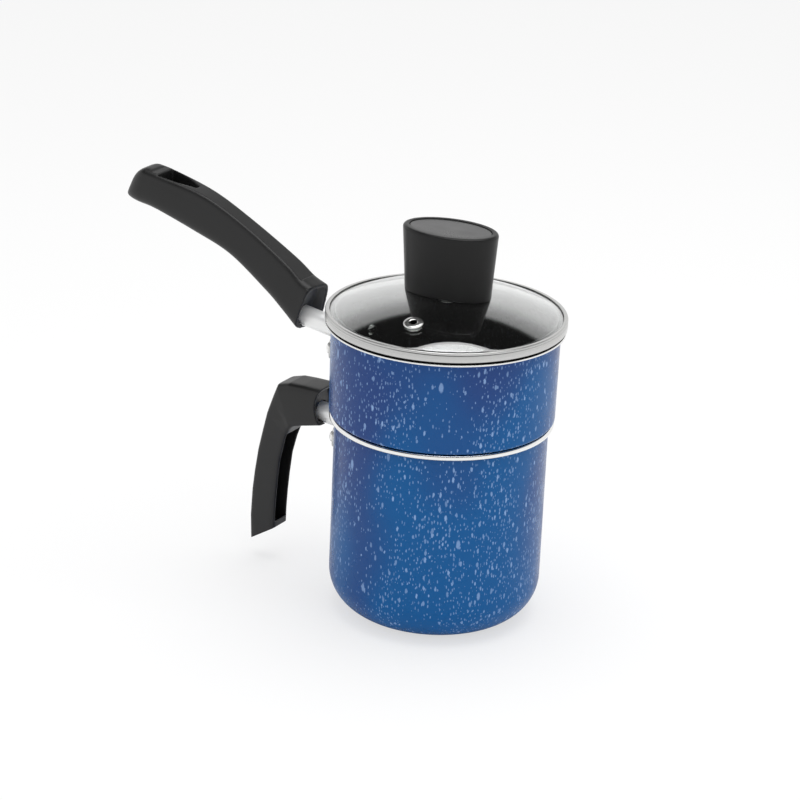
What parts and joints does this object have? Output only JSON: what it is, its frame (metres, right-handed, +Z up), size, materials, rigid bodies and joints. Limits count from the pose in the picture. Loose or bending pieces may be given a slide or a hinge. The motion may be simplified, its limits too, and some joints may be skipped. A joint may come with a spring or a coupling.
{
  "type": "couscous steamer",
  "caption": "Stove-top couscous steamer: a tall pot for water, a handled steaming vessel with a perforated plate that nests in it, and a glass lid with an oval knob.",
  "frame": {"origin": "centre of the pot's flat base, where the object rests", "axes": "+Z up along the common axis of pot, vessel and lid; both handles point along -X; the steam vent faces -Y"},
  "size_m": [0.3082, 0.1472, 0.2476],
  "materials": {
    "speckled_enamel": "gloss blue outside with pale upright specks, black non-stick inside",
    "bare_aluminium": "plain rolled",
    "stainless": "satin to polished",
    "chrome": "mirror",
    "zinc_steel": "zinc plated",
    "brass": "machined",
    "black_phenolic": "satin moulded",
    "grey_cap": "satin",
    "silicone": "matt",
    "tempered_glass": "clear polished"
  },
  "bodies": {
    "pot": {"lower_pot": "speckled_enamel", "short_handle_bracket": "zinc_steel", "short_handle_ferrule": "chrome", "short_handle_rivet_1": "stainless", "short_handle_rivet_2": "stainless", "short_handle_grip": "black_phenolic", "short_handle_screw": "zinc_steel"},
    "vessel": {"upper_vessel": "speckled_enamel", "long_handle_bracket": "zinc_steel", "long_handle_ferrule": "chrome", "long_handle_rivet_1": "stainless", "long_handle_rivet_2": "stainless", "long_handle_grip": "black_phenolic", "long_handle_screw": "zinc_steel"},
    "plate": {"perforated_plate": "bare_aluminium"},
    "lid": {"lid_glass": "tempered_glass", "lid_band": "stainless", "steam_vent_eyelet": "stainless", "knob_body": "black_phenolic", "knob_cap": "grey_cap", "knob_gasket": "silicone", "knob_washer": "stainless", "knob_insert": "brass", "knob_screw": "zinc_steel"}
  },
  "joints": [
    {"name": "vessel_lift", "type": "slide", "parent": "pot", "child": "vessel", "axis": [0, 0, 1], "range_m": [0, 0.05]},
    {"name": "plate_lift", "type": "slide", "parent": "vessel", "child": "plate", "axis": [0, 0, 1], "range_m": [0, 0.065]},
    {"name": "lid_lift", "type": "slide", "parent": "vessel", "child": "lid", "axis": [0, 0, 1], "range_m": [0, 0.08]}
  ]
}
